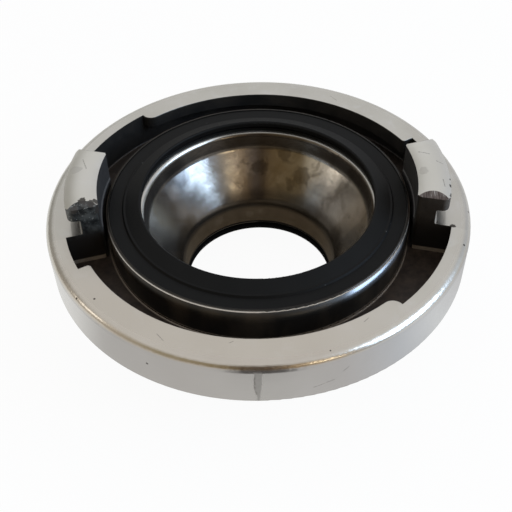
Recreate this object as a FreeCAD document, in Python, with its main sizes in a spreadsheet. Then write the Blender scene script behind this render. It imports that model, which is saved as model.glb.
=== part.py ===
import FreeCAD, Part
import Sketcher
import math
import os
import re

# Rigid reducing adapter with a hooked lug coupling on each end, seen with its large end up.
# Millimetres, Z is the bore's axis. The flat face of the large ring is z = 0, and the small end
# faces down. Each end is described by its own height: 0 on its ring's face, positive outward.
# The lugs of both ends stand on the X axis.

SIZES = {
    "neck_land": 1.7,
    "neck_wall": 5.45,
    "neck_round": 2.0,
    "throat_length": 5.8,
    "throat_flare": 1.4,
    "throat_blend": 4.0,
    "bowl_wall": 3.2,
    "bowl_lean": 11.0,
    "bowl_round": 3.2,
    "gasket_clearance": 0.1,
    "edge_round": 0.4,
    "corner_round": 0.6,
    "large_ring_radius": 61.0,
    "large_collar_wall": 0.9,
    "large_collar_lift": 0.3,
    "large_ring_height": 14.0,
    "large_ring_wall": 5.5,
    "large_rim_round": 2.6,
    "large_foot_round": 0.4,
    "large_floor_thickness": 3.2,
    "large_channel_width": 11.75,
    "large_lip_width": 3.5,
    "large_lip_thickness": 4.9,
    "large_ramp_rise": 1.0,
    "large_short_window": 13.4,
    "large_long_window": 34.7,
    "large_lead_round": 3.1,
    "large_stop_round": 1.0,
    "large_lug_angle": 29.5,
    "large_lug_gap": 1.0,
    "large_lug_ledge": 0.3,
    "large_stem_thickness": 5.95,
    "large_hook_reach": 3.3,
    "large_hook_play": 0.2,
    "large_hook_thickness": 4.0,
    "large_hook_crown": 1.4,
    "large_hook_bevel": 1.7,
    "large_hook_corner": 2.0,
    "large_lug_corner": 1.6,
    "large_groove_width": 6.35,
    "large_groove_depth": 7.0,
    "large_seat_width": 1.9,
    "large_seat_depth": 1.7,
    "large_seat_round": 1.4,
    "large_seal_reach": 1.0,
    "large_seal_lift": 2.2,
    "large_seal_width": 5.1,
    "small_ring_radius": 47.5,
    "small_collar_wall": 0.9,
    "small_collar_lift": 0.3,
    "small_ring_height": 12.0,
    "small_ring_wall": 4.7,
    "small_rim_round": 1.8,
    "small_foot_round": 0.4,
    "small_floor_thickness": 2.6,
    "small_channel_width": 10.6,
    "small_lip_width": 3.0,
    "small_lip_thickness": 4.4,
    "small_ramp_rise": 0.9,
    "small_short_window": 15.0,
    "small_long_window": 39.0,
    "small_lead_round": 2.6,
    "small_stop_round": 1.0,
    "small_lug_angle": 32.0,
    "small_lug_gap": 0.9,
    "small_lug_ledge": 0.3,
    "small_stem_thickness": 5.5,
    "small_hook_reach": 2.9,
    "small_hook_play": 0.3,
    "small_hook_thickness": 3.5,
    "small_hook_crown": 1.1,
    "small_hook_bevel": 1.5,
    "small_hook_corner": 1.7,
    "small_lug_corner": 1.4,
    "small_groove_width": 6.1,
    "small_groove_depth": 6.4,
    "small_seat_width": 2.2,
    "small_seat_depth": 1.0,
    "small_seat_round": 0.6,
    "small_seal_reach": 0.8,
    "small_seal_lift": 1.4,
    "small_seal_width": 5.3,
}

# Radii and heights that follow from those sizes. Most are said once for both ends: for one end,
# ring_wall stands for large_ring_wall or small_ring_wall.
PLACES = {
    "channel_radius": "ring_radius - ring_wall",
    "collar_radius": "channel_radius - channel_width",
    "lip_radius": "channel_radius - lip_width",
    "channel_depth": "ring_height - floor_thickness",
    "lug_radius": "collar_radius + lug_gap",
    "stem_radius": "lug_radius + stem_thickness",
    "hook_radius": "stem_radius + hook_reach",
    "hook_clearance": "lip_thickness + hook_play",
    "hook_height": "hook_clearance + hook_thickness",
    "groove_outside": "collar_radius - collar_wall",
    "groove_inside": "groove_outside - groove_width",
    "seat_radius": "groove_inside - seat_width",
    "bore_radius": "seat_radius - seat_round",
    "bore_depth": "seat_depth + seat_round",
    "seal_radius": "seat_radius - seal_reach",
    "ridge_radius": "seal_radius + seal_width",
    "ridge_height": "collar_lift + edge_round",
    "band_height": "collar_lift - edge_round / 2",
    "face_spacing": "large_ring_height + 2 * neck_round + neck_land + small_ring_height",
    "neck_radius": "(large_seat_radius + small_seat_radius) / 2 + neck_wall",
    "throat_top": "small_bore_depth + throat_length - face_spacing",
    "throat_curve": "(throat_flare ^ 2 + throat_blend ^ 2) / (2 * throat_flare)",
    "bowl_bottom": "throat_top + throat_blend",
    "bowl_bottom_radius": "small_bore_radius + throat_flare",
    "bowl_shoulder": "0 - large_bore_depth - bowl_wall",
    "bowl_shoulder_radius": "large_bore_radius - bowl_wall * tan(bowl_lean)",
    "bowl_height": "bowl_shoulder + bowl_round * sin(bowl_lean) - bowl_bottom",
    "bowl_width": "bowl_shoulder_radius - bowl_round * cos(bowl_lean) - bowl_bottom_radius",
    "bowl_span": "sqrt(bowl_width ^ 2 + bowl_height ^ 2)",
    "bowl_slope": "(asin(bowl_height / bowl_span) - asin(bowl_round / bowl_span)) / 1 deg",
    "bowl_cone": "sqrt(bowl_span ^ 2 - bowl_round ^ 2)",
}

document = FreeCAD.newDocument("reducing_adapter")
sheet = document.addObject("Spreadsheet::Sheet", "sizes")
for row, (alias, size) in enumerate(SIZES.items(), start=1):
    sheet.set("A%d" % row, alias.replace("_", " "))
    sheet.set("B%d" % row, str(size))
    sheet.setAlias("B%d" % row, alias)
document.recompute()


def formula(text, end=""):
    """A formula in the words above, as one that reads the sheet."""
    def read(match):
        word = match.group()
        side, short = (word[:5], word[6:]) if word[:6] in ("large_", "small_") else (end, word)
        if short in PLACES:
            return "(" + formula(PLACES[short], side) + ")"
        name = word if word in SIZES else end + "_" + word
        return "sizes." + name if name in SIZES else word
    return re.sub(r"(?<![.\w])[a-z_]+", read, text)


def amount(text, end=""):
    """The present value of a formula."""
    value = sheet.evalExpression(formula(text, end))
    return float(getattr(value, "Value", value))


def bind(thing, path, text, end=""):
    """Ties a property to the sheet."""
    thing.setExpression(path, formula(text, end))


def level(text, end):
    """A height over one end's face, as a formula for Z."""
    return formula(text if end == "large" else "0 - face_spacing - (%s)" % text, end)


def polar(radius, angle):
    """A point at a radius and an angle, as two formulas."""
    return ("(%s) * cos(%s)" % (radius, angle), "(%s) * sin(%s)" % (radius, angle))


def origin_part(body, role):
    """One of the body's own origin planes or axes."""
    return next(item for item in body.Origin.OriginFeatures if item.Role == role)


# An outline is a list of corners, walked with the material on its right. Each corner names its
# two coordinates and the arc that reaches it, if the edge before it isn't straight.

def straight(across, up):
    """A corner reached by a straight edge."""
    return (across, up, None, 0)


def outward(across, up, radius):
    """A corner reached by an arc that rounds the material outward."""
    return (across, up, radius, 1)


def inward(across, up, radius):
    """A corner reached by an arc that hollows the material."""
    return (across, up, radius, -1)


def from_other_end(corners):
    """An open outline walked from its last corner to its first. It suits the end that is turned
    over, whose arcs keep their sides."""
    edges = [corner[2:] for corner in corners[1:]] + [(None, 0)]
    return [corner[:2] + edge for corner, edge in zip(corners, edges)][::-1]


def arc_between(start, end, radius, side):
    """The arc of an outline's edge, which a sketch always draws anticlockwise."""
    chord = end - start
    rise = math.sqrt(radius ** 2 - chord.Length ** 2 / 4)
    left = FreeCAD.Vector(-chord.y, chord.x, 0).normalize() * side
    centre = (start + end) * 0.5 - left * rise
    first, last = (end, start) if side > 0 else (start, end)
    turns = [math.atan2(place.y - centre.y, place.x - centre.x) for place in (first, last)]
    return Part.ArcOfCircle(Part.Circle(centre, FreeCAD.Vector(0, 0, 1), radius), *turns)


def draw(body, name, plane, corners, end=""):
    """A closed sketch. Every corner is tied to the sheet by its distances from the origin, and
    every arc by its radius."""
    sketch = body.newObject("Sketcher::SketchObject", name)
    sketch.AttachmentSupport = [(origin_part(body, plane), "")]
    sketch.MapMode = "FlatFace"
    places = [FreeCAD.Vector(amount(c[0], end), amount(c[1], end), 0) for c in corners]
    ends = []
    for index, place in enumerate(places):
        after = (index + 1) % len(places)
        radius, side = corners[after][2:]
        if radius is None:
            sketch.addGeometry(Part.LineSegment(place, places[after]), False)
        else:
            sketch.addGeometry(arc_between(place, places[after], amount(radius, end), side), False)
        ends.append((2, 1) if side > 0 else (1, 2))
    for index, (across, up, radius, side) in enumerate(corners):
        before = (index - 1) % len(corners)
        start = ends[index][0]
        sketch.addConstraint(Sketcher.Constraint("Coincident", before, ends[before][1], index, start))
        rules = [("DistanceX", (-1, 1, index, start), across), ("DistanceY", (-1, 1, index, start), up)]
        if radius is not None:
            rules.append(("Radius", (before,), radius))
        for kind, where, text in rules:
            number = sketch.addConstraint(Sketcher.Constraint(kind, *where, amount(text, end)))
            bind(sketch, "Constraints[%d]" % number, text, end)
    document.recompute()
    return sketch


def stand_at(sketch, angle, end):
    """Turns an upright sketch about Z to an angle."""
    sketch.AttachmentOffset = FreeCAD.Placement(
        FreeCAD.Vector(0, 0, 0), FreeCAD.Rotation(FreeCAD.Vector(0, 1, 0), 1))
    bind(sketch, "AttachmentOffset.Rotation.Angle", angle, end)
    return sketch


def turn(body, name, sketch, angle=None, end=""):
    """Turns a section about Z, all the way or by an angle with the sketch in its middle."""
    feature = body.newObject("PartDesign::Revolution", name)
    feature.Profile = sketch
    feature.ReferenceAxis = (sketch, ["V_Axis"])
    feature.Angle = 360
    if angle:
        feature.Midplane = True
        bind(feature, "Angle", angle, end)
    body.Tip = feature
    document.recompute()
    return feature


def cut(body, name, sketch, depth, end, reverse=False):
    """Cuts a sketch's area out of the body, behind the sketch or in front of it."""
    feature = body.newObject("PartDesign::Pocket", name)
    feature.Profile = sketch
    feature.Reversed = reverse
    bind(feature, "Length", depth, end)
    body.Tip = feature
    document.recompute()
    return feature


def repeat(body, name, originals):
    """Makes a second copy half a turn round."""
    feature = body.newObject("PartDesign::PolarPattern", name)
    feature.Originals = originals
    feature.Axis = (origin_part(body, "Z_Axis"), [""])
    feature.Occurrences = 2
    feature.Angle = 360
    body.Tip = feature
    document.recompute()
    return feature


def end_section(end):
    """One end's section without its lugs and windows, from the bore out to the neck."""
    def at(across, up, *arc):
        return (formula(across, end), level(up, end)) + tuple(formula(text, end) for text in arc)

    return [
        straight(*at("bore_radius", "0 - bore_depth")),
        outward(*at("seat_radius", "0 - seat_depth", "seat_round")),
        straight(*at("groove_inside", "0 - seat_depth")),
        straight(*at("groove_inside", "0 - groove_depth")),
        straight(*at("groove_outside", "0 - groove_depth")),
        straight(*at("groove_outside", "collar_lift")),
        straight(*at("collar_radius - edge_round", "collar_lift")),
        outward(*at("collar_radius", "collar_lift - edge_round", "edge_round")),
        straight(*at("collar_radius", "corner_round - channel_depth")),
        inward(*at("collar_radius + corner_round", "0 - channel_depth", "corner_round")),
        straight(*at("channel_radius - corner_round", "0 - channel_depth")),
        inward(*at("channel_radius", "corner_round - channel_depth", "corner_round")),
        straight(*at("channel_radius", "ramp_rise - lip_thickness")),
        straight(*at("lip_radius", "ramp_rise - lip_thickness")),
        straight(*at("lip_radius", "0")),
        straight(*at("ring_radius - rim_round", "0")),
        outward(*at("ring_radius", "0 - rim_round", "rim_round")),
        straight(*at("ring_radius", "foot_round - ring_height")),
        outward(*at("ring_radius - foot_round", "0 - ring_height", "foot_round")),
        straight(*at("neck_radius + neck_round", "0 - ring_height")),
        inward(*at("neck_radius", "0 - ring_height - neck_round", "neck_round")),
    ]


def body_section():
    """The whole turned section: the large end, the small end, then the throat and the bowl, whose
    cone turns into a short steep wall."""
    large = end_section("large")
    small = from_other_end(end_section("small"))
    bore = [
        straight("small_bore_radius", "throat_top"),
        outward("bowl_bottom_radius", "bowl_bottom", "throat_curve"),
        straight("bowl_bottom_radius + bowl_cone * cos(bowl_slope)", "bowl_bottom + bowl_cone * sin(bowl_slope)"),
        inward("bowl_shoulder_radius", "bowl_shoulder", "bowl_round"),
    ]
    return large + small + bore


def window_outline():
    """The gap in the lip on both sides of a lug, seen from the end's face. The lip's ends are
    rounded: much where the other coupling's hooks enter, and little beside the short window."""
    lead = "(0 - lug_angle / 2 - long_window)"
    stop = "(lug_angle / 2 + short_window)"
    lead_round = "min(lead_round; 0.9 * lip_width)"
    stop_round = "min(stop_round; 0.9 * lip_width)"
    past_lead = "(%s - asin(%s / (lip_radius + %s)) / 1 deg)" % (lead, lead_round, lead_round)
    past_stop = "(%s + asin(%s / (lip_radius + %s)) / 1 deg)" % (stop, stop_round, stop_round)
    lead_reach = "sqrt((lip_radius + %s) ^ 2 - %s ^ 2)" % (lead_round, lead_round)
    stop_reach = "sqrt((lip_radius + %s) ^ 2 - %s ^ 2)" % (stop_round, stop_round)
    inside = "lip_radius - edge_round"
    return [
        outward(*polar("channel_radius", lead), "channel_radius"),
        straight(*polar(lead_reach, lead)),
        inward(*polar("lip_radius", past_lead), lead_round),
        straight(*polar(inside, past_lead)),
        inward(*polar(inside, past_stop), inside),
        straight(*polar("lip_radius", past_stop)),
        inward(*polar(stop_reach, stop), stop_round),
        straight(*polar("channel_radius", stop)),
    ]


def lay_at(sketch, height, end):
    """Lays a sketch level at a height over its end's face, looking out from that end."""
    if end == "small":
        sketch.AttachmentOffset = FreeCAD.Placement(
            FreeCAD.Vector(0, 0, 0), FreeCAD.Rotation(FreeCAD.Vector(1, 0, 0), 180))
    bind(sketch, "AttachmentOffset.Base.z", level(height, end))
    return sketch


def cut_windows(body, end):
    """Opens both windows of an end, from its face down into the channel."""
    sketch = draw(body, end + "_window_outline", "XY_Plane", window_outline(), end)
    lay_at(sketch, "0", end)
    window = cut(body, end + "_window", sketch, "(lip_thickness + channel_depth) / 2", end)
    repeat(body, end + "_windows", [window])


def round_lips(body, end):
    """Breaks the edge of the lips and of their rounded ends, where they meet the end's face."""
    face, radius, lips = amount(level("0", end)), amount("lip_radius", end), body.Tip
    edges = [
        "Edge%d" % number for number, edge in enumerate(lips.Shape.Edges, start=1)
        if edge.Curve.TypeId == "Part::GeomCircle" and abs(edge.Curve.Radius - radius) < 1e-6
        and abs(edge.Curve.Center.z - face) < 1e-6]
    feature = body.newObject("PartDesign::Fillet", end + "_lip_round")
    feature.Base = (lips, edges)
    bind(feature, "Radius", "edge_round", end)
    body.Tip = feature
    document.recompute()


def add_ramps(body, end):
    """The wedge under each lip, which pulls the other coupling's hooks in as they turn. The lip is
    thinnest where they enter, beside the long window."""
    side = 1 if end == "large" else -1
    middle = "%d * (180 + short_window - long_window) / 2" % side
    half = "(180 - lug_angle - short_window - long_window) / 2"
    climb = "ramp_rise * ring_radius / (2 * lip_radius * sin(%s))" % half
    wall = "channel_radius + ring_wall / 2"
    inside_lip = level("(ramp_rise - lip_thickness) / 2", end)
    below_lip = level("0 - lip_thickness - ramp_rise", end)
    block = [straight("lip_radius", inside_lip), straight(wall, inside_lip),
             straight(wall, below_lip), straight("lip_radius", below_lip)]
    section = stand_at(draw(body, end + "_ramp_section", "XZ_Plane", block, end), middle, end)
    ramp = turn(body, end + "_ramp", section, "180 - lug_angle", end)

    thick, thin = ("%d * ring_radius" % -side, "%d * ring_radius" % side)
    slope = [straight(thick, level("ramp_rise / 2 - lip_thickness - " + climb, end)),
             straight(thin, level("ramp_rise / 2 - lip_thickness + " + climb, end)),
             straight(thin, level("0 - ring_height", end)),
             straight(thick, level("0 - ring_height", end))]
    outline = stand_at(draw(body, end + "_slope_outline", "YZ_Plane", slope, end), middle, end)
    repeat(body, end + "_ramps", [ramp, cut(body, end + "_slope", outline, "ring_radius", end, reverse=True)])


def lug_section(end):
    """A lug's section: the stem on the ring's floor, the hook and its crowned top."""
    def at(across, up, *arc):
        return (across, level(up, end)) + arc

    hook_width = "(hook_radius - lug_radius - lug_ledge)"
    crown = "(%s ^ 2 / 4 + hook_crown ^ 2) / (2 * hook_crown)" % hook_width
    root = "0 - ring_height + floor_thickness / 2"
    wall = "channel_radius + ring_wall / 2"
    return [
        straight(*at("lug_radius", root)),
        straight(*at("lug_radius", "collar_lift")),
        straight(*at("lug_radius + lug_ledge", "collar_lift + lug_ledge")),
        straight(*at("lug_radius + lug_ledge", "hook_height")),
        outward(*at("hook_radius", "hook_height", crown)),
        straight(*at("hook_radius", "hook_clearance + edge_round")),
        outward(*at("hook_radius - edge_round", "hook_clearance", "edge_round")),
        straight(*at("stem_radius + corner_round", "hook_clearance")),
        inward(*at("stem_radius", "hook_clearance - corner_round", "corner_round")),
        straight(*at("stem_radius", "corner_round")),
        inward(*at("stem_radius + corner_round", "0", "corner_round")),
        straight(*at(wall, "0")),
        straight(*at(wall, root)),
    ]


def bevel_lug(body, end, side):
    """Slopes the top at one end of the lug, so that the crown runs out there. The sketch stands
    across the lug's end, and side is 1 or -1 along Y."""
    def at(back, up):
        return ("0 - %d * hook_bevel * (%s)" % (side, back), level("hook_height + hook_crown * (%s)" % up, end))

    corners = [straight(*at("0 - 0.5", "0 - 0.5")), straight(*at("1.5", "1.5")), straight(*at("0 - 0.5", "1.5"))]
    name = "%s_bevel_%s" % (end, "front" if side < 0 else "back")
    sketch = draw(body, name + "_outline", "YZ_Plane", corners, end)
    stand_at(sketch, "%d * lug_angle / 2" % side, end)
    return cut(body, name, sketch, "ring_radius", end, reverse=True)


def corner_outline(face, radius, margin, side, out):
    """What the rounding of a lug's upright corner takes away, seen from the end's face: the corner
    of a side of the lug with its outer face, or with its inner face where out is -1."""
    centre = "(%s - %d * %s)" % (face, out, radius)
    flank = "%d * lug_angle / 2" % side
    touch = "(%s - %d * asin(%s / %s) / 1 deg)" % (flank, side, radius, centre)
    beside = "(%s + %d * lug_angle / 12)" % (flank, side)
    beyond = "(%s + %d * %s)" % (face, out, margin)
    on_flank = "sqrt(%s ^ 2 - %s ^ 2)" % (centre, radius)
    corners = [polar(on_flank, flank), polar(on_flank, beside), polar(beyond, beside),
               polar(beyond, touch), polar(face, touch)]
    if side * out < 0:
        corners.reverse()
    return [inward(*corners[0], radius)] + [straight(*corner) for corner in corners[1:]]


def round_lug(body, end, side):
    """Rounds the upright corners at one end of the lug: those of the hook and those of the stem's
    inner face."""
    place = "front" if side < 0 else "back"
    hook = draw(body, "%s_hook_corner_%s_outline" % (end, place), "XY_Plane",
                corner_outline("hook_radius", "hook_corner", "hook_corner", side, 1), end)
    stem = draw(body, "%s_lug_corner_%s_outline" % (end, place), "XY_Plane",
                corner_outline("lug_radius", "lug_corner", "lug_gap / 4", side, -1), end)
    lay_at(hook, "hook_clearance / 2", end)
    lay_at(stem, "0 - channel_depth", end)
    return [
        cut(body, "%s_hook_corner_%s" % (end, place), hook, "hook_height + hook_crown", end, reverse=True),
        cut(body, "%s_lug_corner_%s" % (end, place), stem, "ring_height + hook_height", end, reverse=True),
    ]


def add_lugs(body, end):
    """Stands the two hooked lugs on an end."""
    corners = lug_section(end)
    if end == "small":
        corners = from_other_end(corners + corners[:1])[:-1]
    sketch = draw(body, end + "_lug_section", "XZ_Plane", corners, end)
    lug = turn(body, end + "_lug", sketch, "lug_angle", end)
    bevels = [bevel_lug(body, end, side) for side in (1, -1)]
    corners = round_lug(body, end, 1) + round_lug(body, end, -1)
    repeat(body, end + "_lugs", [lug] + bevels + corners)


def make_adapter_body():
    """The one-piece metal body with both coupling ends."""
    body = document.addObject("PartDesign::Body", "adapter_body")
    for end in ("large", "small"):
        add_ramps(body, end)
    turn(body, "turned_form", draw(body, "turned_section", "XZ_Plane", body_section()))
    for end in ("large", "small"):
        cut_windows(body, end)
        round_lips(body, end)
        add_lugs(body, end)
    return body


def make_gasket(end):
    """A rubber seal: a foot in the collar's groove and a lip that reaches in over the metal seat.
    The hollow under the lip lets the water press it outward."""
    def at(across, up, *arc):
        return (across, level(up, end)) + arc

    outside = "groove_outside - gasket_clearance"
    inside = "groove_inside + gasket_clearance"
    corners = [
        straight(*at("seat_radius", "0 - seat_depth")),
        straight(*at("seat_radius", "0 - seat_depth / 2")),
        straight(*at("groove_inside", "0")),
        straight(*at("seal_radius", "seal_lift / 4")),
        straight(*at("seal_radius", "seal_lift - corner_round")),
        outward(*at("seal_radius + corner_round", "seal_lift", "corner_round")),
        straight(*at("ridge_radius - corner_round", "ridge_height")),
        straight(*at("ridge_radius", "ridge_height")),
        straight(*at("ridge_radius + edge_round", "band_height")),
        straight(*at(outside, "band_height")),
        straight(*at(outside, "0 - groove_depth")),
        straight(*at(inside, "0 - groove_depth")),
        straight(*at(inside, "0 - seat_depth")),
    ]
    if end == "small":
        corners = from_other_end(corners + corners[:1])[:-1]
    body = document.addObject("PartDesign::Body", end + "_gasket")
    turn(body, end + "_seal", draw(body, end + "_seal_section", "XZ_Plane", corners, end))
    return body


pieces = [make_adapter_body(), make_gasket("large"), make_gasket("small")]
document.recompute()

for item in document.Objects:
    if "Invalid" in item.State or "Error" in item.State:
        raise RuntimeError("%s did not build: %s" % (item.Name, item.State))
for piece in pieces:
    if piece.Shape.isNull() or not piece.Shape.isValid() or len(piece.Shape.Solids) != 1:
        raise RuntimeError(piece.Label + " is not one sound solid")

os.makedirs("parts", exist_ok=True)
for piece in pieces:
    piece.Shape.exportStep("parts/%s.step" % piece.Label)
    box = piece.Shape.optimalBoundingBox()
    print("%s: %.1f x %.1f x %.1f mm, %.1f cm3" % (
        piece.Label, box.XLength, box.YLength, box.ZLength, piece.Shape.Volume / 1000))
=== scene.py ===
"""Looks for a rigid reducing adapter with a hooked lug coupling on each end, seen from above."""
import math

import bpy
from mathutils import Matrix, Vector


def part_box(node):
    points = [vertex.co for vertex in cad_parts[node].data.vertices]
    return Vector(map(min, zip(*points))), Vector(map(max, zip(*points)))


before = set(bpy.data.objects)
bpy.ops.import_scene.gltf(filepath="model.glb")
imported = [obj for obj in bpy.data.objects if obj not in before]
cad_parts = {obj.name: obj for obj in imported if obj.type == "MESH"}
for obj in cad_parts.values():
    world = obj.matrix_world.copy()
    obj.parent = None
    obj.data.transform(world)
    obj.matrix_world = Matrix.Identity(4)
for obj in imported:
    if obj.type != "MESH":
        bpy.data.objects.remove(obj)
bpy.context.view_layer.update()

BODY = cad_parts["adapter_body"]
LARGE_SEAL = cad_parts["large_gasket"]
SMALL_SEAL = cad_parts["small_gasket"]
FLOOR_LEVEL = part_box("adapter_body")[0][2]

# Places on the solids in millimetres and degrees, for the borders of the finishes. Heights count
# from each end's own face, positive outward. Pairs are for the small end and the large end.
SMALL_FACE = -31.7
MIDDLE = -17.0
RIM = (45.5, 58.3)
STEM = (37.9, 50.6)
COLLAR = (32.2, 43.75)
BORE_EDGE = (-1.65, -3.15)
GROOVE = (25.2, 36.5)
HOOK = (8.2, 9.1)
CHANNEL_FLOOR = (-9.4, -10.8)
HALF_LUG = (16.0, 14.75)
LARGE_RING = 61.0

MILLIMETRES = 1000.0
DEGREES = 180.0 / math.pi
TURNS = 0.5 / math.pi
WHITE = (1.0, 1.0, 1.0)


def polar(radius, angle, height=0.0):
    """A point on the large end, from its radius and its angle in degrees."""
    turn = math.radians(angle)
    return (radius * math.cos(turn), radius * math.sin(turn), height)


# Colours of the turned metal. Colours here and below are linear. Where a colour stands with a
# number, that is its share, and where it stands behind one, that is its place on a ramp.
FACE_TONES = ((0.30, (0.53, 0.51, 0.475)), (0.50, (0.57, 0.555, 0.515)), (0.70, (0.60, 0.58, 0.55)))
FACE_RUBBED = ((0.66, 0.66, 0.655), 0.35)
FACE_WARM = ((0.56, 0.50, 0.43), 1.0)
# Painted shade on the face just outside each lug.
FACE_SHADE_BY_LUG = ((0.42, 0.40, 0.37), 0.22)
# Painted shade on the face under each hook.
FACE_SHADE_UNDER_HOOK = ((0.16, 0.155, 0.14), 1.0)
WALL_TONES = ((0.47, 0.465, 0.46), (0.56, 0.555, 0.56))
LUG_TOP = ((0.67, 0.66, 0.62), 0.6)

# Colours of the bowl and the throat.
BRONZE = ((0.30, (0.20, 0.165, 0.125)), (0.50, (0.32, 0.278, 0.225)), (0.68, (0.42, 0.380, 0.330)))
BRONZE_MOTTLE = ((0.12, 0.095, 0.07), 0.55)
# The bowl's greys on its left: partly its own tone, partly a painted reflection of the window.
BOWL_GREYS_AND_REFLECTION = ((0.26, 0.255, 0.25), (0.40, 0.40, 0.40))
BOWL_GREY_SHARE = 0.7
# Painted shade on the bowl's far left.
BOWL_FAR_LEFT_SHADE = ((0.11, 0.108, 0.105), 0.7)
# Painted light on the bowl's right.
BOWL_PAINTED_LIGHT_RIGHT = ((0.70, 0.655, 0.59), 0.7)
# A browner band right of the middle: partly the bronze's own tone, partly a painted reflection of the dark
# place in front.
BOWL_BROWN_AND_REFLECTION = ((0.165, 0.115, 0.052), 0.65)
BOWL_CLOUD = ((0.125, 0.095, 0.055), 1.0)
# Painted shade that trims the window's highlight on the bowl's left.
BOWL_PAINTED_SHADE = ((0.09, 0.09, 0.095), 0.7)
# A painted highlight beside the window's reflection on the bowl's left.
BOWL_PAINTED_HIGHLIGHT = ((0.62, 0.58, 0.55), 0.6)
BOWL_STAIN = ((0.060, 0.042, 0.022), 0.55)
# Painted shade low in the bowl.
BOWL_FOOT_SHADE = ((0.085, 0.070, 0.052), 0.8)
# Painted shade on the bowl's upper wall.
BOWL_TOP_SHADE = ((0.065, 0.050, 0.037), 0.82)
THROAT_TONES = ((0.16, 0.125, 0.085), (0.40, 0.33, 0.245))
THROAT_RUBBED = ((0.70, 0.63, 0.52), 0.4)

# Where they start and where they are full, in millimetres along X, Y or Z. Three numbers are a
# band's two ends and how soft they are.
BOWL_GREY_X = (-3.0, -16.0)
FAR_LEFT_X, FAR_LEFT_Y = (-20.0, -27.0), (17.0, 9.0)
BOWL_RIGHT_X = (13.0, 20.0)
BOWL_BROWN_X = (2.5, 14.0, 3.0)
BOWL_FOOT_Z, BOWL_TOP_Z = (-16.5, -20.0), (-7.6, -5.4)
# The painted shade at the foot starts this much lower where the bowl mirrors the window.
FOOT_DROP, FOOT_DROP_X = 2.6, (-19.0, -12.0, 3.0)
THROAT_Z = (-22.6, -24.2)

# Colours of the channels, the collars and the lugs.
CHANNEL_TONES = ((0.32, (0.015, 0.015, 0.015)), (0.72, (0.038, 0.034, 0.030)))
FLOOR_OF_CHANNEL = ((0.35, (0.022, 0.014, 0.010)), (0.70, (0.056, 0.038, 0.027)))
COLLAR_TONES = ((0.40, (0.012, 0.010, 0.008)), (0.70, (0.042, 0.031, 0.021)))
COLLAR_GLINT = ((0.42, 0.45, 0.50), 0.5)
# A painted highlight line at the foot of the collar's wall.
COLLAR_FOOT_HIGHLIGHT = ((0.24, 0.19, 0.145), 0.9)
LUG_SIDE_TONES = ((0.026, 0.026, 0.027), (0.064, 0.062, 0.062))
LUG_END_TONES = ((0.016, 0.013, 0.010), (0.050, 0.041, 0.034))
# Painted shade low on the lugs' ends.
LUG_END_SHADE = ((0.015, 0.012, 0.010), 1.0)
# A painted highlight line at the foot of the lugs' ends.
LUG_FOOT_HIGHLIGHT = ((0.42, 0.34, 0.26), 1.0)
BEVEL_TONES = ((0.38, (0.050, 0.034, 0.030)), (0.56, (0.13, 0.105, 0.095)), (0.72, (0.42, 0.40, 0.385)))
CHIPPED_END_TONES = ((0.40, (0.014, 0.016, 0.017)), (0.62, (0.090, 0.096, 0.094)))
CHIPPED_BEVEL_TONES = ((0.40, (0.018, 0.018, 0.017)), (0.64, (0.115, 0.112, 0.105)))
CHIP = ((0.42, 0.42, 0.40), 0.85)

# Colours of the marks.
DRIP = ((0.34, 0.335, 0.325), 0.3)
DULL = ((0.40, 0.385, 0.36), 0.35)
DRIP_EDGE = ((0.13, 0.12, 0.11), 0.55)
SCRATCH = ((0.13, 0.12, 0.11), 0.6)
DIRT = ((0.045, 0.038, 0.033), 0.9)

# Colours of the rubber.
RUBBER_TONES = ((0.0030, 0.0030, 0.0030), (0.0060, 0.0058, 0.0056))
DUST = ((0.25, 0.25, 0.24), 0.6)

# Noises, as scale for each millimetre, detail, roughness and distortion. Those that are drawn out
# have their stretch along X, Y and Z first.
CLOUD = (0.055, 3.0)
BLOTCH = (0.11, 4.0, 0.55, 0.5)
BOWL_CLOUDS = (0.17, 5.0, 0.62, 0.5)
SMEAR = (0.22, 4.0, 0.6, 0.6)
DENTS = (0.30, 3.0, 0.6)
MOTTLE = (0.42, 4.0, 0.6)
RAGGED = (0.9, 4.0, 0.7)
CHIPS = (1.0, 4.0, 0.75, 0.8)
GRAIN = (2.3, 4.0)
COLLAR_STREAKS = ((0.3, 0.3, 0.12), 0.5, 3.0, 0.5)
BEVEL_STREAKS = ((2.4, 0.3, 0.3), 1.0, 4.0, 0.7)
DRIP_WAVES = ((0.12, 0.12, 1.0), 0.55, 4.0, 0.7)
RUBBER_GRAIN, RUBBER_BLOOM, RUBBER_DUST = (3.0, 3.0), (0.12, 4.0), (1.15, 1.0)
# The turning's rings and the rubber's, in radians for each millimetre.
TURNING_RINGS, RUBBER_RINGS = 21.0, 16.0

# How rough each finish is. Pairs are for the low and the high end of a noise.
RAW_ROUGH, POLISHED_ROUGH = (0.38, 0.5), (0.15, 0.28)
FACE_ROUGH, RIM_ROUGH = (0.26, 0.38), (0.19, 0.30)
COLLAR_ROUGH, GLINT_ROUGH, MARK_ROUGH = 0.40, 0.24, 0.5
RUBBER_ROUGH = (0.48, 0.60)
# How metallic each finish is. Grime covers the collars' walls.
RAW_METAL, POLISHED_METAL, COLLAR_METAL, GLINT_METAL = 0.35, 0.9, 0.2, 0.9
# The shine of what isn't metal: anywhere on the body, on the collars' backs, and on the rubber.
SHINE, BACK_SHINE, RUBBER_SHINE = 0.5, 0.06, 0.12

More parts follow.
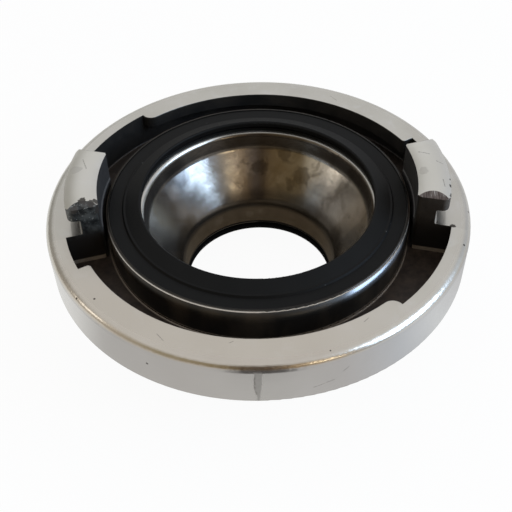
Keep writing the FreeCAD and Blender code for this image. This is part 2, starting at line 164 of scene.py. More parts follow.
# How high each relief stands. Pairs are for sound metal and the chipped lug.
RING_RELIEF, TURNED_GRAIN_RELIEF, SMEAR_RELIEF, DENT_RELIEF = 0.05, 0.10, 0.5, 2.2
MOTTLE_RELIEF, GRAIN_RELIEF = (0.9, 12.0), (0.2, 2.5)
MARK_RELIEF = -0.8
RUBBER_RING_RELIEF, RUBBER_GRAIN_RELIEF = 0.12, 0.25
RELIEF_STRENGTH, RELIEF_METRES, RUBBER_RELIEF_METRES = 0.12, 0.0004, 0.0002
# The large collar's wall is worn round from this far under the face up, by this much for each
# square millimetre.
WORN_DEPTH, WORN_BEND = 4.4, -0.14

# Scratches: on the large ring's wall as angle and height, and on level faces as points in plan.
WALL_SCRATCHES = (((-78.4, -10.4), (-75.9, -9.8)), ((-75.3, -9.5), (-73.4, -9.2)),
                  ((-71.2, -6.7), (-69.9, -5.6)))
FACE_SCRATCHES = ((polar(53.6, -60.0), polar(54.1, -62.0)), (polar(53.9, -99.0), polar(53.2, -97.9)),
                  (polar(56.2, -118.0), polar(57.4, -115.5)), (polar(54.6, 60.0), polar(56.0, 63.0)))
LUG_SCRATCHES = ((polar(50.9, 2.2), polar(52.5, 1.2)), (polar(51.7, -6.6), polar(52.1, -9.6)),
                 (polar(47.0, 8.0), polar(49.6, 5.8)), (polar(50.2, 172.0), polar(48.4, 176.4)))
WALL_SCRATCH_WIDTH, FACE_SCRATCH_WIDTH, LUG_SCRATCH_WIDTH = 0.16, 0.14, 0.20
# Specks and small knocks, as places and sizes.
SPECKS = ((polar(60.2, -143.0, -0.8), 0.34), (polar(57.1, -139.2), 0.32), (polar(61.0, -118.7, -6.8), 0.36),
          (polar(60.3, -7.3, -0.8), 0.36), (polar(59.7, -20.9, -0.4), 0.36), (polar(58.8, -74.0), 0.22))
KNOCKS = ((polar(55.9, -14.6, 0.0), 0.75), (polar(53.9, -5.2, 9.2), 0.4), (polar(53.8, -8.2, 9.2), 0.55),
          (polar(54.0, -12.6, 8.8), 0.9), (polar(53.6, -14.6, 7.2), 0.8), (polar(46.9, -166.2, 10.0), 1.3),
          (polar(45.4, -167.2, 9.4), 1.1), (polar(49.0, -167.5, 10.1), 1.1), (polar(45.6, -168.0, 9.7), 0.6),
          (polar(44.9, -165.6, 7.6), 1.4), (polar(51.6, -165.4, 9.2), 1.2))
# Dull patches on the lugs' tops.
DULL_PATCHES = ((polar(46.5, -2.0, 9.9), 1.5), (polar(51.6, 177.0, 10.2), 1.8))
# Dark stains on the bowl's back and right, and on its left a patch of painted shade and a patch of painted
# highlight.
STAINS = ((polar(29.7, 59.0, -13.5), 3.4), (polar(32.4, 72.0, -8.6), 2.6), (polar(29.0, 11.0, -13.8), 1.1),
          (polar(30.0, 88.0, -13.0), 3.0), (polar(28.0, 66.0, -16.5), 2.4))
PAINTED_SHADE_PATCH = (polar(32.0, 142.0, -7.6), (6.5, 3.0))
PAINTED_HIGHLIGHT_PATCH = (polar(31.0, 149.0, -11.0), (3.8, 1.2))
# Places in the throat where the dark skin is rubbed thin.
RUBBED = ((polar(22.4, 96.0, -26.2), 1.6), (polar(22.4, 88.0, -25.4), 1.2), (polar(22.4, 124.0, -26.0), 1.8))
# The drip on the large ring's wall: its X, how far it wanders, and the heights between which it
# thins out.
DRIP_X, DRIP_WANDER, DRIP_Z = -1.65, 1.9, (-7.0, -13.5)

# The tones low down in the surroundings, as (azimuth, colour): cool on the right, warm in front
# and pale behind.
SURROUNDINGS = ((-180, (0.56, 0.52, 0.46)), (-160, (0.56, 0.51, 0.43)), (-137, (0.42, 0.37, 0.26)),
                (-108, (0.34, 0.27, 0.16)), (-76, (0.42, 0.29, 0.15)), (-50, (0.40, 0.35, 0.29)),
                (-30, (0.52, 0.57, 0.64)), (12, (0.74, 0.80, 0.87)), (30, (0.62, 0.64, 0.68)),
                (58, (0.74, 0.74, 0.75)), (80, (0.76, 0.76, 0.76)), (106, (0.72, 0.72, 0.71)),
                (132, (0.42, 0.41, 0.38)), (160, (0.38, 0.36, 0.32)), (180, (0.56, 0.52, 0.46)))
# The ceiling's tones by height, and the heights at which it starts and is full.
CEILING = ((0.5, (0.80, 0.80, 0.79)), (0.8, (0.86, 0.86, 0.855)), (1.0, (0.80, 0.80, 0.80)))
CEILING_HEIGHTS = (0.42, 0.80)
# A dark place in front: its azimuth, the angles from there at which it ends and is full, the
# heights at which it ends and is full, and its colour.
DARK_AZIMUTH, DARK_HALF_WIDTHS, DARK_TOPS = -91.0, (13.0, 9.0), (0.86, 0.60)
DARK_PLACE = ((0.060, 0.036, 0.024), 1.0)
# How pale the floor is in the metal, by azimuth: painted shade on the floor.
FLOOR_SHADE_TONES = ((-180, (1.0, 1.0, 0.97)), (-166, (1.0, 0.99, 0.95)), (-150, (0.75, 0.73, 0.69)),
               (-118, (0.74, 0.71, 0.66)), (-90, (0.81, 0.79, 0.74)), (-62, (0.77, 0.75, 0.72)),
               (-40, (0.82, 0.85, 0.88)), (-21, (0.98, 1.0, 1.0)), (4, (0.68, 0.67, 0.665)),
               (60, (0.82, 0.82, 0.82)), (180, (1.0, 1.0, 0.97)))
# Painted shadows on the floor, seen only in the metal: in the middle of the front and under the object.
FLOOR_SHADOW_IN_FRONT = (0.07, 0.055, 0.045)
FLOOR_SHADOW_UNDER_OBJECT = (0.10, 0.085, 0.065)
# Where these two start and where they are full: in metres ahead of the object, as a share of
# that to either side, and in metres round the object.
FRONT_AHEAD, FRONT_SIDEWAYS, UNDER_OBJECT = (0.090, 0.104), (0.26, 0.14), (0.070, 0.050)
FLOOR_HALF_WIDTH = 3.0
# How much of the floor is plain white, and the grey of the rest, which takes the shadow.
FLOOR_WHITE_SHARE, FLOOR_GREY = 0.95, (0.8, 0.8, 0.8)

# The lamps: name, azimuth, elevation, width and height, watts and colour.
LAMPS = (
    ("window", -18.0, 29.0, (0.72, 0.66), 10.5, (0.56, 0.75, 1.0)),
    ("warm_lamp", -62.0, 17.0, (0.22, 0.22), 0.60, (1.0, 0.86, 0.62)),
    ("left_lamp", -176.0, 22.0, (0.24, 0.32), 0.45, (1.0, 0.95, 0.87)),
)
LAMP_DISTANCE = 1.2

# The camera, in metres and degrees: how high and how far it stands from the large ring's centre,
# how it is turned round the object, and its small turns away from that centre.
CAMERA_ELEVATION, CAMERA_DISTANCE, CAMERA_TURN = 41.485, 0.24681, -0.75
CAMERA_PAN, CAMERA_TILT, CAMERA_ROLL = 0.188, -3.886, -1.187
SENSOR_WIDTH = 36.0
FOCAL_PIXELS, PICTURE_PIXELS = 850.0, 512.0
LENS = SENSOR_WIDTH * FOCAL_PIXELS / PICTURE_PIXELS


class Nodes:
    """Builds a material's or a world's node tree in short calls."""

    def __init__(self, owner):
        owner.use_nodes = True
        self.tree = owner.node_tree
        self.tree.nodes.clear()

    def add(self, kind, inputs=(), **settings):
        """A node with its settings and its inputs, by name or number, as values or links."""
        node = self.tree.nodes.new(kind)
        for name, value in settings.items():
            setattr(node, name, value)
        for name, value in dict(inputs).items():
            self.put(node.inputs[name], value)
        return node

    def put(self, socket, value):
        """Links a socket, or sets its value."""
        if isinstance(value, bpy.types.NodeSocket):
            self.tree.links.new(value, socket)
        elif isinstance(value, (tuple, list)) and len(value) == 3 and socket.type == "RGBA":
            socket.default_value = (*value, 1.0)
        else:
            socket.default_value = value

    def math(self, operation, *values, clamp=False):
        node = self.add("ShaderNodeMath", enumerate(values), operation=operation, use_clamp=clamp)
        return node.outputs[0]

    def vector(self, operation, output, *values, **named):
        inputs = dict(enumerate(values))
        inputs.update(named)
        node = self.add("ShaderNodeVectorMath", inputs, operation=operation)
        return node.outputs[output]

    def size(self, value):
        return self.math("ABSOLUTE", value)

    def chain(self, operation, values):
        total = values[0]
        for value in values[1:]:
            total = self.math(operation, total, value)
        return total

    def sum(self, *values):
        return self.chain("ADD", values)

    def product(self, *values):
        return self.chain("MULTIPLY", values)

    def most(self, *values):
        return self.chain("MAXIMUM", values)

    def step(self, value, low, high):
        """0 below low, 1 above high and smooth between. With low over high it falls."""
        flip = low > high
        node = self.add("ShaderNodeMapRange", {0: value, 1: min(low, high), 2: max(low, high),
                                               3: 1.0 if flip else 0.0, 4: 0.0 if flip else 1.0},
                        interpolation_type="SMOOTHSTEP")
        return node.outputs[0]

    def band(self, value, low, high, soft):
        """1 between low and high, with soft ends."""
        return self.product(self.step(value, low - soft, low), self.step(value, high + soft, high))

    def noise(self, vector, scale, detail=3.0, roughness=0.55, distortion=0.0):
        node = self.add("ShaderNodeTexNoise", {"Vector": vector, "Scale": scale, "Detail": detail,
                                               "Roughness": roughness, "Distortion": distortion})
        return node.outputs["Fac"]

    def stretched_noise(self, vector, stretch, *settings):
        """A noise that is drawn out along the axes with the small shares."""
        return self.noise(self.vector("MULTIPLY", 0, vector, stretch), *settings)

    def mix(self, share, first, second):
        """A colour between two."""
        node = self.add("ShaderNodeMix", data_type="RGBA")
        self.put(node.inputs[0], share)
        self.put(node.inputs[6], first)
        self.put(node.inputs[7], second)
        return node.outputs[2]

    def paint(self, under, layer, *shares):
        """A colour with a layer over it. The layer is a colour and its greatest share."""
        colour, greatest = layer
        return self.mix(self.product(*shares, greatest), under, colour)

    def blend(self, share, first, second):
        """A number between two."""
        node = self.add("ShaderNodeMix", data_type="FLOAT")
        self.put(node.inputs[0], share)
        self.put(node.inputs[2], first)
        self.put(node.inputs[3], second)
        return node.outputs[0]

    def ramp(self, value, stops):
        """A colour ramp of (place, colour) stops."""
        node = self.add("ShaderNodeValToRGB", {0: value})
        elements = node.color_ramp.elements
        while len(elements) < len(stops):
            elements.new(0.5)
        for element, (place, colour) in zip(elements, stops):
            element.position = place
            element.color = (*colour, 1.0)
        return node.outputs[0]

    def split(self, vector):
        """A vector's three parts."""
        return self.add("ShaderNodeSeparateXYZ", {0: vector}).outputs

    def length(self, across, along):
        return self.math("SQRT", self.sum(self.product(across, across), self.product(along, along)))

    def place(self):
        """Where the surface is: a vector in millimetres, its parts, its radius and its normal."""
        geometry = self.add("ShaderNodeNewGeometry").outputs
        vector = self.vector("SCALE", 0, geometry["Position"], Scale=MILLIMETRES)
        parts = self.split(vector)
        return vector, parts, self.length(parts[0], parts[1]), self.split(geometry["Normal"])

    def around(self, across, along, stops):
        """A ramp round the Z axis, of (azimuth, colour) stops from -180 to 180 degrees."""
        turn = self.sum(self.product(self.math("ARCTAN2", along, across), TURNS), 0.5)
        return turn, self.ramp(turn, [((azimuth + 180) / 360, colour) for azimuth, colour in stops])

    def patch(self, vector, centre, borders):
        """1 near a point, fading between two distances from it."""
        return self.step(self.vector("DISTANCE", 1, vector, centre), *borders)

    def spots(self, vector, places, ragged=None):
        """1 inside the balls at some places, or inside ragged ones where a noise is given."""
        found = []
        for centre, size in places:
            distance = self.vector("DISTANCE", 1, vector, centre)
            if ragged is not None:
                distance = self.sum(distance, self.product(self.math("SUBTRACT", ragged, 0.5), 2.2 * size))
            found.append(self.step(distance, size * 1.1, size * 0.8))
        return self.most(*found)

    def stroke(self, across, up, start, end, width):
        """1 along a straight scratch on a flattened surface."""
        run = (end[0] - start[0], end[1] - start[1])
        length = run[0] ** 2 + run[1] ** 2
        here = self.add("ShaderNodeCombineXYZ", {0: across, 1: up}).outputs[0]
        from_start = self.vector("SUBTRACT", 0, here, (*start, 0.0))
        share = self.vector("DOT_PRODUCT", 1, from_start, (run[0] / length, run[1] / length, 0.0))
        share = self.math("ADD", share, 0.0, clamp=True)
        nearest = self.vector("SCALE", 0, (*run, 0.0), Scale=share)
        return self.step(self.vector("DISTANCE", 1, from_start, nearest), width, width * 0.4)

    def bump(self, height, strength, distance, normal=None):
        inputs = {"Height": height, "Strength": strength, "Distance": distance}
        if normal is not None:
            inputs["Normal"] = normal
        return self.add("ShaderNodeBump", inputs).outputs[0]

    def finish(self, **inputs):
        """The surface shader and the material's output."""
        shader = self.add("ShaderNodeBsdfPrincipled",
                          {name.replace("_", " "): value for name, value in inputs.items()})
        self.add("ShaderNodeOutputMaterial", {"Surface": shader.outputs[0]})


class Metal:
    """Aluminium: bright where it was turned, dark bronze-brown where the raw form was left. The
    numbers in its steps and bands are millimetres, degrees, parts of a normal or a noise's values."""

    def __init__(self):
        self.material = bpy.data.materials.new("turned_and_raw_aluminium")
        self.nodes = Nodes(self.material)
        self.find_place()
        self.make_noises()
        self.find_regions()
        self.find_marks()
        self.finish()

    def over(self, value, pair):
        """How far a value is over the size that the end has."""
        return self.nodes.math("SUBTRACT", value, self.nodes.blend(self.large, *pair))

    def find_place(self):
        """Where a point lies, measured from the forms of its own end."""
        nodes = self.nodes
        self.vector, (self.x, self.y, self.z), self.radius, normal = nodes.place()
        self.facing_along = nodes.size(normal[1])
        self.facing_up = nodes.size(normal[2])
        self.large = nodes.step(self.z, MIDDLE - 0.01, MIDDLE + 0.01)
        self.left = nodes.step(self.x, 1.0, -1.0)
        self.height = nodes.blend(self.large, nodes.math("SUBTRACT", SMALL_FACE, self.z), self.z)
        self.angle = nodes.product(nodes.math("ARCTAN2", self.y, self.x), DEGREES)
        from_lug = nodes.product(nodes.math("ARCTANGENT", nodes.math("DIVIDE", self.y, self.x)), DEGREES)
        self.past_lug = self.over(nodes.size(from_lug), HALF_LUG)
        self.past_collar = self.over(self.radius, COLLAR)
        self.past_stem = self.over(self.radius, STEM)
        self.over_hook = self.over(self.height, HOOK)
        self.over_floor = self.over(self.height, CHANNEL_FLOOR)

    def make_noises(self):
        """The noises that several finishes share, from the widest to the finest."""
        self.cloud, self.blotch, self.smear, self.mottle, self.ragged, self.grain = (
            self.nodes.noise(self.vector, *settings)
            for settings in (CLOUD, BLOTCH, SMEAR, MOTTLE, RAGGED, GRAIN))

    def find_regions(self):
        """1 in each region of the body, 0 outside it."""
        nodes = self.nodes
        step = nodes.step
        self.on_face = nodes.product(step(self.height, -0.5, -0.4), step(self.height, 0.6, 0.5))
        self.rim = step(self.over(self.radius, RIM), -0.1, 0.1)
        self.wall = nodes.product(self.rim, step(self.facing_up, 0.5, 0.2))
        self.lug_top = nodes.product(step(self.over_hook, -0.05, 0.05), step(self.facing_along, 0.44, 0.36))
        self.lug_end = nodes.product(step(self.facing_along, 0.7, 0.8),
                                     step(nodes.size(self.past_lug), 1.2, 1.0),
                                     step(self.past_collar, 0.8, 0.9))
        self.bevel = nodes.product(step(self.over_hook, -0.12, 0.0), step(self.facing_along, 0.40, 0.46))
        self.lug_outside = nodes.most(self.lug_end, self.bevel)
        self.in_bowl = nodes.product(step(self.radius, 34.0, 33.8), step(self.z, -29.6, -29.4))
        self.in_throat = nodes.product(self.in_bowl, step(self.z, *THROAT_Z))
        self.collar_wall = nodes.product(nodes.band(self.past_collar, -0.5, 0.25, 0.1),
                                         step(self.over_floor, 0.3, 0.6))
        self.glint = nodes.product(self.collar_wall, self.large, nodes.band(self.angle, -54.0, -32.0, 9.0),
                                   step(self.height, -4.0, -1.0))
        self.turned = self.find_turned()

    def find_turned(self):
        """Which surfaces were turned bright: the rims, the lugs' outsides and tops, the front edge of
        the large collar, and the seats, whose bright band is widest on the left."""
        nodes = self.nodes
        step = nodes.step
        stem = nodes.product(step(self.past_stem, 0.0, 0.06), step(self.height, -0.16, -0.04),
                             step(self.height, 4.9, 4.7))
        in_front = nodes.blend(self.large, 1.0, step(self.y, -8.0, -22.0))
        collar_edge = nodes.product(nodes.band(self.past_collar, -0.15, 0.02, 0.04),
                                    step(self.height, -0.14, -0.06), step(self.height, 0.5, 0.4), in_front)
        narrower = nodes.product(step(self.x, -24.0, -8.0), self.large, -1.1)
        seat = nodes.product(step(nodes.sum(self.over(self.height, BORE_EDGE), narrower), -0.1, 0.3),
                             step(self.height, -0.9, -1.0), step(self.over(self.radius, GROOVE), 0.0, -0.1))
        return nodes.most(self.rim, stem, self.lug_top, collar_edge, seat)

    def turned_colour(self):
        """Soft clouding and rubbed places, with painted shade on the face just outside the lugs and under
        their hooks.
        """
        nodes = self.nodes
        step = nodes.step
        face = nodes.ramp(self.cloud, FACE_TONES)
        face = nodes.paint(face, FACE_RUBBED, step(self.smear, 0.52, 0.72))
        warmth = nodes.blend(step(self.x, 8.0, 44.0), 0.6, 0.15)
        face = nodes.paint(face, FACE_WARM, self.large, step(self.y, 0.0, -40.0), warmth)
        colour = nodes.mix(self.wall, face, nodes.mix(self.cloud, *WALL_TONES))
        # Painted shade on the face just outside the lugs.
        colour = nodes.paint(colour, FACE_SHADE_BY_LUG, self.on_face, step(self.past_stem, 2.8, 3.2),
                             step(self.past_lug, 0.5, 0.3))
        # Painted shade on the face under the hooks.
        colour = nodes.paint(colour, FACE_SHADE_UNDER_HOOK, self.on_face, step(self.past_stem, 3.3, 2.9),
                             step(self.past_lug, 0.6, 0.3), nodes.blend(self.left, 0.4, 0.6))
        return nodes.paint(colour, LUG_TOP, self.lug_top)

    def bowl_colour(self):
        """Mottled, stained bronze with painted light and shade: greyer on the left, partly a painted
        reflection of the window, painted light on the right, a browner band between, partly a painted
        reflection, and painted shade at the top, the foot and the far left.
        """
        nodes = self.nodes
        step = nodes.step
        colour = nodes.ramp(self.blotch, BRONZE)
        colour = nodes.paint(colour, BRONZE_MOTTLE, step(self.mottle, 0.55, 0.72))
        # Greyer on the left: partly its own tone, partly a painted reflection of the window.
        grey = nodes.mix(self.blotch, *BOWL_GREYS_AND_REFLECTION)
        colour = nodes.paint(colour, (grey, BOWL_GREY_SHARE), step(self.x, *BOWL_GREY_X))
        # Painted shade on the bowl's far left.
        colour = nodes.paint(colour, BOWL_FAR_LEFT_SHADE, step(self.x, *FAR_LEFT_X), step(self.y, *FAR_LEFT_Y))
        # Painted light on the bowl's right.
        colour = nodes.paint(colour, BOWL_PAINTED_LIGHT_RIGHT, step(self.x, *BOWL_RIGHT_X))
        # Browner band: partly own tone, partly a painted reflection of the dark place in front.
        colour = nodes.paint(colour, BOWL_BROWN_AND_REFLECTION, nodes.band(self.x, *BOWL_BROWN_X))
        clouds = step(nodes.noise(self.vector, *BOWL_CLOUDS), 0.48, 0.66)
        colour = nodes.paint(colour, BOWL_CLOUD, clouds, nodes.blend(step(self.x, -4.0, 6.0), 0.35, 0.65),
                             nodes.blend(step(self.x, 17.0, 24.0), 1.0, 0.65))
        # A patch of painted shade on the bowl's left.
        colour = nodes.paint(colour, BOWL_PAINTED_SHADE, nodes.patch(self.vector, *PAINTED_SHADE_PATCH))
        # A patch of painted highlight on the bowl's left.
        colour = nodes.paint(colour, BOWL_PAINTED_HIGHLIGHT, nodes.patch(self.vector, *PAINTED_HIGHLIGHT_PATCH))
        colour = nodes.paint(colour, BOWL_STAIN, nodes.spots(self.vector, STAINS, self.mottle))
        # Painted shade low in the bowl.
        foot = nodes.sum(self.z, nodes.product(nodes.band(self.x, *FOOT_DROP_X), FOOT_DROP))
        colour = nodes.paint(colour, BOWL_FOOT_SHADE, step(foot, *BOWL_FOOT_Z))
        # Painted shade on the bowl's upper wall, lighter on the left.
        return nodes.paint(colour, BOWL_TOP_SHADE, step(self.z, *BOWL_TOP_Z),
                           nodes.blend(step(self.x, -24.0, -4.0), 0.4, 1.0))

    def throat_colour(self):
        """Mottled like the bowl, with a few places rubbed pale."""
        nodes = self.nodes
        return nodes.paint(nodes.mix(self.mottle, *THROAT_TONES), THROAT_RUBBED,
                           nodes.spots(self.vector, RUBBED, self.mottle), nodes.step(self.grain, 0.40, 0.60))

    def channel_colour(self):
        """Nearly black, with a brown floor that is blacker behind as painted shade, a streaked collar wall
        with a painted glint, and a painted highlight line at its foot.
        """
        nodes = self.nodes
        step = nodes.step
        colour = nodes.ramp(self.blotch, CHANNEL_TONES)
        # The floor's brown is weaker behind: painted shade at the back of the channel.
        on_floor = nodes.product(step(self.over_floor, 0.35, 0.1),
                                 nodes.blend(step(self.y, 14.0, -14.0), 0.6, 1.0))
        colour = nodes.mix(on_floor, colour, nodes.ramp(self.mottle, FLOOR_OF_CHANNEL))
        streaks = nodes.stretched_noise(self.vector, *COLLAR_STREAKS)
        colour = nodes.mix(self.collar_wall, colour, nodes.ramp(streaks, COLLAR_TONES))
        colour = nodes.paint(colour, COLLAR_GLINT, self.glint)
        # A painted highlight line at the foot of the collar's wall.
        return nodes.paint(colour, COLLAR_FOOT_HIGHLIGHT, nodes.band(self.over_floor, 0.1, 0.6, 0.2),
                           step(self.past_collar, 0.7, 0.5))

    def lug_colour(self, colour):
        """The lugs' dark sides and ends over a colour, with painted shade low on the ends and a painted
        highlight line at their foot. The left lug's end is chipped and flecked.
        """
        nodes = self.nodes
        step = nodes.step
        on_side = nodes.product(step(self.past_lug, 0.4, 0.2), step(self.past_collar, 1.55, 1.45),
                                step(self.past_collar, 0.85, 0.95), step(self.over_floor, 0.2, 0.8))
        colour = nodes.mix(on_side, colour, nodes.mix(self.mottle, *LUG_SIDE_TONES))
        end = nodes.mix(self.left, nodes.mix(self.mottle, *LUG_END_TONES),
                        nodes.ramp(self.mottle, CHIPPED_END_TONES))
        # Painted shade low on the lug's end.
        end = nodes.paint(end, LUG_END_SHADE, step(self.height, 3.0, -2.0))
        colour = nodes.mix(self.lug_end, colour, end)
        # A painted highlight line at the foot of the lug's end.
        colour = nodes.paint(colour, LUG_FOOT_HIGHLIGHT, self.lug_end, nodes.band(self.over_floor, 0.3, 1.2, 0.5),
                             nodes.blend(self.mottle, 0.7, 1.0))
        streaks = nodes.stretched_noise(self.vector, *BEVEL_STREAKS)
        bevel = nodes.mix(self.left, nodes.ramp(streaks, BEVEL_TONES),
                          nodes.ramp(self.mottle, CHIPPED_BEVEL_TONES))
        colour = nodes.mix(self.bevel, colour, bevel)
        chips = step(nodes.noise(self.vector, *CHIPS), 0.60, 0.66)
        return nodes.paint(colour, CHIP, chips, self.left, self.large, self.lug_outside,
                           step(self.height, 2.5, 4.5))

    def find_scratches(self):
        """Straight scratches on the large end, broken up by the grain."""
        nodes = self.nodes
        arc = math.radians(LARGE_RING)
        along_wall = nodes.product(self.angle, arc)
        found = []
        for scratch in WALL_SCRATCHES:
            ends = [(arc * angle, height) for angle, height in scratch]
            found.append(nodes.product(self.wall, self.large,
                                       nodes.stroke(along_wall, self.z, *ends, WALL_SCRATCH_WIDTH)))
        for region, scratches, width in ((self.on_face, FACE_SCRATCHES, FACE_SCRATCH_WIDTH),
                                         (self.lug_top, LUG_SCRATCHES, LUG_SCRATCH_WIDTH)):
            for start, end in scratches:
                found.append(nodes.product(region, self.large,
                                           nodes.stroke(self.x, self.y, start[:2], end[:2], width)))
        return nodes.product(nodes.most(*found), nodes.step(self.grain, 0.30, 0.55))

    def find_drip(self):
        """A dried drip down the front of the large ring's wall, and its darker left edge."""
        nodes = self.nodes
        step = nodes.step
        waves = nodes.math("SUBTRACT", nodes.stretched_noise(self.vector, *DRIP_WAVES), 0.5)
        across = nodes.size(nodes.sum(self.x, -DRIP_X, nodes.product(waves, DRIP_WANDER)))
        away = nodes.product(nodes.sum(across, step(self.z, *DRIP_Z)),
                             nodes.blend(step(self.z, -6.0, -13.5), 1.0, 0.72))
        on_front = nodes.product(self.wall, self.large, step(self.y, 0.0, -1.0), step(self.z, -1.6, -2.8))
        edge = nodes.product(on_front, nodes.band(away, 0.74, 0.84, 0.2), step(self.x, -1.2, -2.2),
                             step(self.ragged, 0.38, 0.56), nodes.band(self.z, -10.0, -4.0, 1.5))
        return nodes.product(on_front, step(away, 1.15, 0.75), nodes.blend(self.ragged, 0.5, 1.3)), edge

    def find_marks(self):
        """Where the marks are."""
        nodes = self.nodes
        self.scratch = self.find_scratches()
        self.specks = nodes.spots(self.vector, SPECKS)
        self.knocks = nodes.spots(self.vector, KNOCKS, self.ragged)
        self.dull = nodes.spots(self.vector, DULL_PATCHES, self.smear)
        self.drip, self.drip_edge = self.find_drip()

    def colour(self):
        """The colour of the whole body."""
        nodes = self.nodes
        raw = self.lug_colour(self.channel_colour())
        bowl = nodes.mix(self.in_throat, self.bowl_colour(), self.throat_colour())
        colour = nodes.mix(self.turned, nodes.mix(self.in_bowl, raw, bowl), self.turned_colour())
        for layer, mark in ((DRIP, self.drip), (DULL, self.dull), (DRIP_EDGE, self.drip_edge),
                            (SCRATCH, self.scratch), (DIRT, nodes.most(self.specks, self.knocks))):
            colour = nodes.paint(colour, layer, mark)
        return colour

    def roughness_and_metal(self):
        """How rough and how metallic the surface is."""
        nodes = self.nodes
        blend = nodes.blend
        polished = nodes.most(self.in_bowl, nodes.step(self.past_collar, 0.3, 0.1))
        rough = blend(polished, blend(self.grain, *RAW_ROUGH), blend(self.mottle, *POLISHED_ROUGH))
        rough = blend(nodes.product(self.collar_wall, 0.8), rough, COLLAR_ROUGH)
        rough = blend(self.glint, rough, GLINT_ROUGH)
        turned = blend(self.rim, blend(self.smear, *FACE_ROUGH), blend(self.smear, *RIM_ROUGH))
        rough = blend(self.turned, rough, turned)
        rough = blend(nodes.most(self.dull, self.knocks, self.drip), rough, MARK_ROUGH)
        metal = blend(self.collar_wall, blend(polished, RAW_METAL, POLISHED_METAL), COLLAR_METAL)
        metal = blend(self.glint, metal, GLINT_METAL)
        return rough, blend(self.turned, metal, 1.0)

    def relief(self):
        """Fine rings and dents on the turned metal, a mottled skin elsewhere, and the marks."""
        nodes = self.nodes
        product = nodes.product
        round_edge = product(self.rim, nodes.band(self.facing_up, 0.12, 0.97, 0.05))
        dents = product(nodes.noise(self.vector, *DENTS), round_edge, DENT_RELIEF)
        rings = nodes.math("SINE", product(self.radius, TURNING_RINGS))
        turned = nodes.sum(product(rings, RING_RELIEF), product(self.grain, TURNED_GRAIN_RELIEF),
                           product(self.smear, SMEAR_RELIEF), dents)
        chipped = product(self.left, self.large, self.lug_outside, nodes.step(self.height, 1.0, 4.0))
        raw = nodes.sum(product(self.mottle, nodes.blend(chipped, *MOTTLE_RELIEF)),
                        product(self.grain, nodes.blend(chipped, *GRAIN_RELIEF)))
        marks = product(nodes.most(self.specks, self.knocks, self.scratch), MARK_RELIEF)
        return nodes.sum(nodes.blend(self.turned, raw, turned), marks)

    def worn_round(self):
        """The surface's direction, bent over along the top of the large collar's wall."""
        nodes = self.nodes
        up_wall = nodes.product(nodes.math("MAXIMUM", nodes.sum(self.height, WORN_DEPTH), 0.0),
                                self.collar_wall, self.large)
        return nodes.bump(nodes.product(up_wall, up_wall, WORN_BEND), 1.0, 1.0 / MILLIMETRES)

    def finish(self):
        """Puts the surface together."""
        nodes = self.nodes
        rough, metal = self.roughness_and_metal()
        behind = nodes.product(self.collar_wall, nodes.step(self.y, -24.0, -6.0))
        nodes.finish(Base_Color=self.colour(), Metallic=metal, Roughness=rough,
                     Specular_IOR_Level=nodes.blend(behind, SHINE, BACK_SHINE),
                     Normal=nodes.bump(self.relief(), RELIEF_STRENGTH, RELIEF_METRES, self.worn_round()))


def rubber_material():
    """Black rubber with fine moulded rings and a few grains of dust."""
    material = bpy.data.materials.new("black_rubber")
    nodes = Nodes(material)
    vector, parts, radius, normal = nodes.place()
    grain = nodes.noise(vector, *RUBBER_GRAIN)
    bloom = nodes.noise(vector, *RUBBER_BLOOM)
    rings = nodes.math("SINE", nodes.product(radius, RUBBER_RINGS))
    dust = nodes.step(nodes.noise(vector, *RUBBER_DUST), 0.80, 0.83)
    height = nodes.sum(nodes.product(rings, RUBBER_RING_RELIEF), nodes.product(grain, RUBBER_GRAIN_RELIEF))
    nodes.finish(Base_Color=nodes.paint(nodes.mix(bloom, *RUBBER_TONES), DUST, dust),
                 Roughness=nodes.blend(grain, *RUBBER_ROUGH), Specular_IOR_Level=RUBBER_SHINE,
                 Normal=nodes.bump(height, RELIEF_STRENGTH, RUBBER_RELIEF_METRES))
    return material


def put_material(item, material):
    item.data.materials.clear()
    item.data.materials.append(material)


def floor_material():
    """White to the camera. The metal shows it with painted shade: least at the sides, more in front,
    and a painted shadow in the middle of the front and under the object."""
    material = bpy.data.materials.new("pale_floor")
    nodes = Nodes(material)
    ray = nodes.add("ShaderNodeLightPath").outputs
    x, y, z = nodes.split(nodes.add("ShaderNodeNewGeometry").outputs["Position"])
    ahead = nodes.product(y, -1.0)
    slant = nodes.math("DIVIDE", nodes.size(x), ahead)
    in_front = nodes.product(nodes.step(ahead, *FRONT_AHEAD), nodes.step(slant, *FRONT_SIDEWAYS))
    # Painted shade on the floor by azimuth, seen only in the metal.
    turn, around = nodes.around(x, y, FLOOR_SHADE_TONES)
    # Painted shadows in front and under the object.
    mirrored = nodes.mix(in_front, around, FLOOR_SHADOW_IN_FRONT)
    mirrored = nodes.mix(nodes.step(nodes.length(x, y), *UNDER_OBJECT), mirrored, FLOOR_SHADOW_UNDER_OBJECT)
    seen = nodes.most(ray["Is Camera Ray"], ray["Is Transmission Ray"], ray["Is Glossy Ray"])
    tone = nodes.mix(ray["Is Glossy Ray"], WHITE, mirrored)
    white = nodes.add("ShaderNodeEmission", {"Color": tone, "Strength": 1.0}).outputs[0]
    plain = nodes.add("ShaderNodeBsdfDiffuse", {"Color": FLOOR_GREY}).outputs[0]
    share = nodes.product(seen, FLOOR_WHITE_SHARE)
    surface = nodes.add("ShaderNodeMixShader", {0: share, 1: plain, 2: white})
    nodes.add("ShaderNodeOutputMaterial", {"Surface": surface.outputs[0]})
    return material


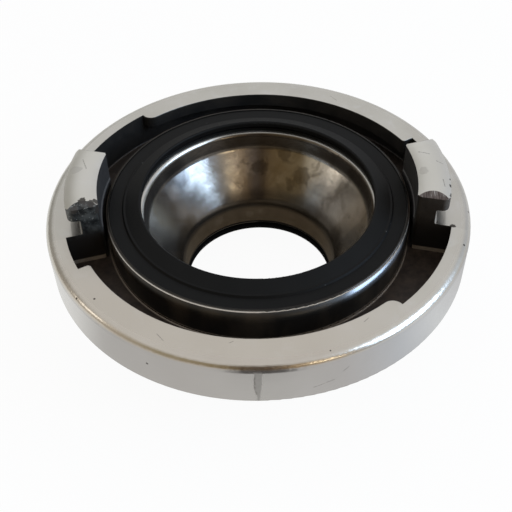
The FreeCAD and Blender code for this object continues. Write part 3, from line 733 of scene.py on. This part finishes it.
def make_floor():
    """A plain floor that keeps the object's shadow."""
    corners = ((-1, -1), (1, -1), (1, 1), (-1, 1))
    mesh = bpy.data.meshes.new("floor")
    mesh.from_pydata([(FLOOR_HALF_WIDTH * x, FLOOR_HALF_WIDTH * y, FLOOR_LEVEL) for x, y in corners], [],
                     [(0, 1, 2, 3)])
    floor = bpy.data.objects.new("floor", mesh)
    bpy.context.collection.objects.link(floor)
    mesh.materials.append(floor_material())


def make_world():
    """Soft studio surroundings under a pale ceiling, white to the camera."""
    world = bpy.data.worlds.new("studio")
    bpy.context.scene.world = world
    nodes = Nodes(world)
    x, y, z = nodes.split(nodes.add("ShaderNodeTexCoord").outputs["Generated"])
    turn, low = nodes.around(x, y, SURROUNDINGS)
    tone = nodes.mix(nodes.step(z, *CEILING_HEIGHTS), low, nodes.ramp(z, CEILING))
    from_dark = nodes.size(nodes.sum(nodes.product(turn, 360.0), -180.0 - DARK_AZIMUTH))
    tone = nodes.paint(tone, DARK_PLACE, nodes.step(from_dark, *DARK_HALF_WIDTHS), nodes.step(z, *DARK_TOPS))
    tone = nodes.mix(nodes.add("ShaderNodeLightPath").outputs["Is Camera Ray"], tone, WHITE)
    background = nodes.add("ShaderNodeBackground", {"Color": tone, "Strength": 1.0}).outputs[0]
    nodes.add("ShaderNodeOutputWorld", {"Surface": background})


def make_lamp(name, azimuth, elevation, size, power, colour):
    """A soft rectangular lamp that points at the object."""
    azimuth, elevation = math.radians(azimuth), math.radians(elevation)
    lamp = bpy.data.lights.new(name, "AREA")
    lamp.shape = "RECTANGLE"
    lamp.size, lamp.size_y = size
    lamp.energy = power
    lamp.color = colour
    item = bpy.data.objects.new(name, lamp)
    bpy.context.collection.objects.link(item)
    level = LAMP_DISTANCE * math.cos(elevation)
    item.location = (level * math.cos(azimuth), level * math.sin(azimuth),
                     LAMP_DISTANCE * math.sin(elevation))
    item.rotation_euler = (-item.location).to_track_quat("-Z", "Y").to_euler()


def make_camera():
    """The photograph's view: from above the front, close enough for a clear perspective."""
    elevation = math.radians(CAMERA_ELEVATION)
    pan, tilt, roll = (math.radians(angle) for angle in (CAMERA_PAN, CAMERA_TILT, CAMERA_ROLL))
    turned = Matrix.Rotation(math.radians(CAMERA_TURN), 4, "Z")
    place = Vector((0.0, -math.cos(elevation), math.sin(elevation)))
    place = turned @ (CAMERA_DISTANCE * place)
    toward = (-place).normalized()
    right = (turned @ Vector((1.0, 0.0, 0.0))).normalized()
    up = right.cross(toward)
    axes = Matrix((right, up, -toward)).transposed().to_4x4()
    aim = Matrix.Rotation(pan, 4, "Y") @ Matrix.Rotation(tilt, 4, "X") @ Matrix.Rotation(roll, 4, "Z")
    data = bpy.data.cameras.new("camera")
    data.sensor_width = SENSOR_WIDTH
    data.sensor_fit = "HORIZONTAL"
    data.lens = LENS
    data.clip_start = 0.01
    camera = bpy.data.objects.new("camera", data)
    bpy.context.collection.objects.link(camera)
    camera.matrix_world = Matrix.Translation(place) @ axes @ aim
    bpy.context.scene.camera = camera


put_material(BODY, Metal().material)
rubber = rubber_material()
put_material(LARGE_SEAL, rubber)
put_material(SMALL_SEAL, rubber)
make_floor()
make_world()
for settings in LAMPS:
    make_lamp(*settings)
make_camera()

bpy.context.scene.view_settings.view_transform = "Standard"
